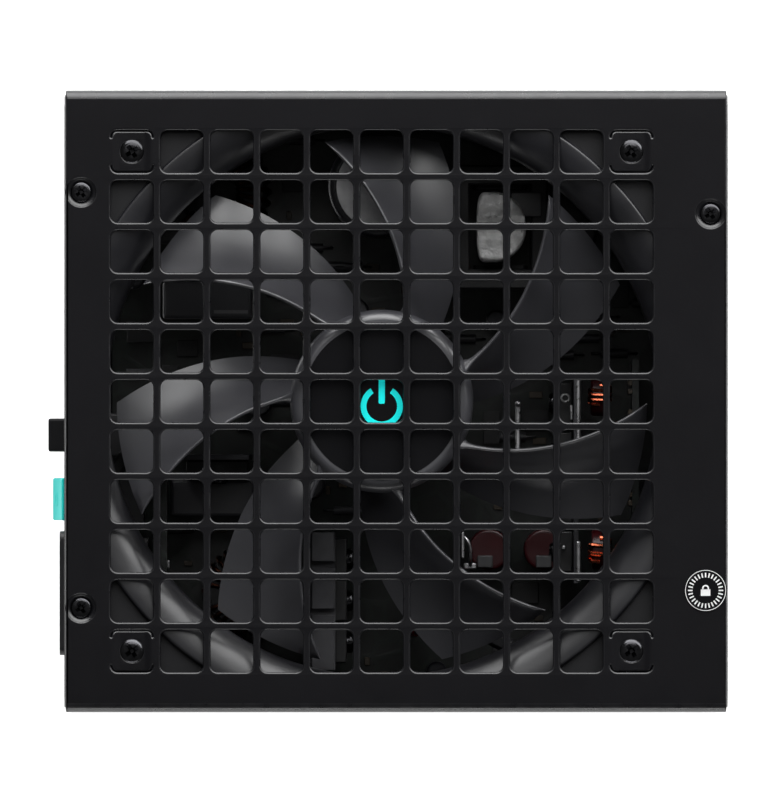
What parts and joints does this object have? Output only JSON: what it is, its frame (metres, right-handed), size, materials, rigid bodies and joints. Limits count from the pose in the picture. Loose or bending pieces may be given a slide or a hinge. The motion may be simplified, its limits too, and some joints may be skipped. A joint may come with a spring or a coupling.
{
  "type": "computer power supply unit",
  "caption": "Fully modular ATX power supply with a square-hole fan grille, mains inlet, teal power rocker, fan-mode button and a panel of cable sockets.",
  "frame": {"origin": "centre of the underside, which is the face opposite the fan", "axes": "+X from the mains face to the modular socket face, +Y across the width, +Z out of the fan side"},
  "size_m": [0.1643, 0.15, 0.0861],
  "materials": {
    "case_steel": "near-black fine-textured powder coat",
    "black_plastic": "black moulded PBT, satin",
    "fan_plastic": "black moulded PBT, semi-gloss",
    "teal_plastic": "teal moulded plastic, satin",
    "bright_steel": "tinned or plated steel",
    "dark_steel": "black zinc plate",
    "aluminium": "mill finish",
    "copper_wire": "enamelled copper wire",
    "bronze": "sintered bronze",
    "ferrite": "dark grey ferrite",
    "tape": "cream polyester tape",
    "circuit_board": "green solder mask on glass laminate",
    "film": "black polyester film",
    "resin": "grey filled resin",
    "sleeve": "black shrink sleeve",
    "label": "dark printed film",
    "cable": "black PVC insulation"
  },
  "bodies": {
    "case": {"top_cover": "case_steel", "lower_chassis": "case_steel", "insulation_sheet": "film", "seal_sticker": "label", "cover_screw_1": "dark_steel", "cover_screw_2": "dark_steel", "cover_screw_3": "dark_steel", "cover_screw_4": "dark_steel", "fan_screw_1": "dark_steel", "fan_screw_2": "dark_steel", "fan_screw_3": "dark_steel", "fan_screw_4": "dark_steel", "board_screw_1": "bright_steel", "board_screw_2": "bright_steel", "board_screw_3": "bright_steel", "board_screw_4": "bright_steel", "inlet_pin_live": "bright_steel", "inlet_pin_neutral": "bright_steel", "inlet_pin_earth": "bright_steel", "fan_frame": "fan_plastic", "fan_bearing": "bronze", "fan_stator": "copper_wire", "pfc_choke": "copper_wire", "emi_choke": "copper_wire", "dcdc_choke_1": "copper_wire", "dcdc_choke_2": "copper_wire", "fan_lead": "cable", "live_lead": "cable", "neutral_lead": "cable", "inlet_housing": "black_plastic", "switch_housing": "black_plastic", "button_housing": "black_plastic", "motherboard_socket_18": "black_plastic", "motherboard_socket_10": "black_plastic", "gpu_socket_16": "black_plastic", "cpu_pcie_socket_1": "black_plastic", "cpu_pcie_socket_2": "black_plastic", "cpu_pcie_socket_3": "black_plastic", "drive_socket_1": "black_plastic", "drive_socket_2": "black_plastic", "filter_board": "circuit_board", "modular_board": "circuit_board", "main_board": "circuit_board", "dcdc_board": "circuit_board", "transformer_core": "ferrite", "transformer_winding": "tape", "bulk_capacitor": "sleeve", "output_capacitor_1": "sleeve", "output_capacitor_2": "sleeve", "primary_heatsink": "aluminium", "secondary_heatsink": "aluminium", "bridge_heatsink": "aluminium", "x_capacitor_1": "resin", "x_capacitor_2": "resin"},
    "rotor": {"fan_impeller": "fan_plastic", "fan_yoke": "bright_steel", "fan_shaft": "bright_steel", "hub_label": "label"},
    "rocker": {"power_rocker": "teal_plastic"},
    "button": {"fan_mode_button": "black_plastic"}
  },
  "joints": [
    {"name": "fan_spin", "type": "hinge", "parent": "case", "child": "rotor", "pos_m": [-0.00345, 0, 0.07], "axis": [0, 0, 1], "continuous": true},
    {"name": "rocker_tilt", "type": "hinge", "parent": "case", "child": "rocker", "pos_m": [-0.076, -0.02375, 0.036], "axis": [0, -1, 0], "range_deg": [0, 16]},
    {"name": "button_press", "type": "slide", "parent": "case", "child": "button", "axis": [1, 0, 0], "range_m": [0, 0.0018], "stiffness_N_per_m": 400, "springref_m": -0.002}
  ]
}
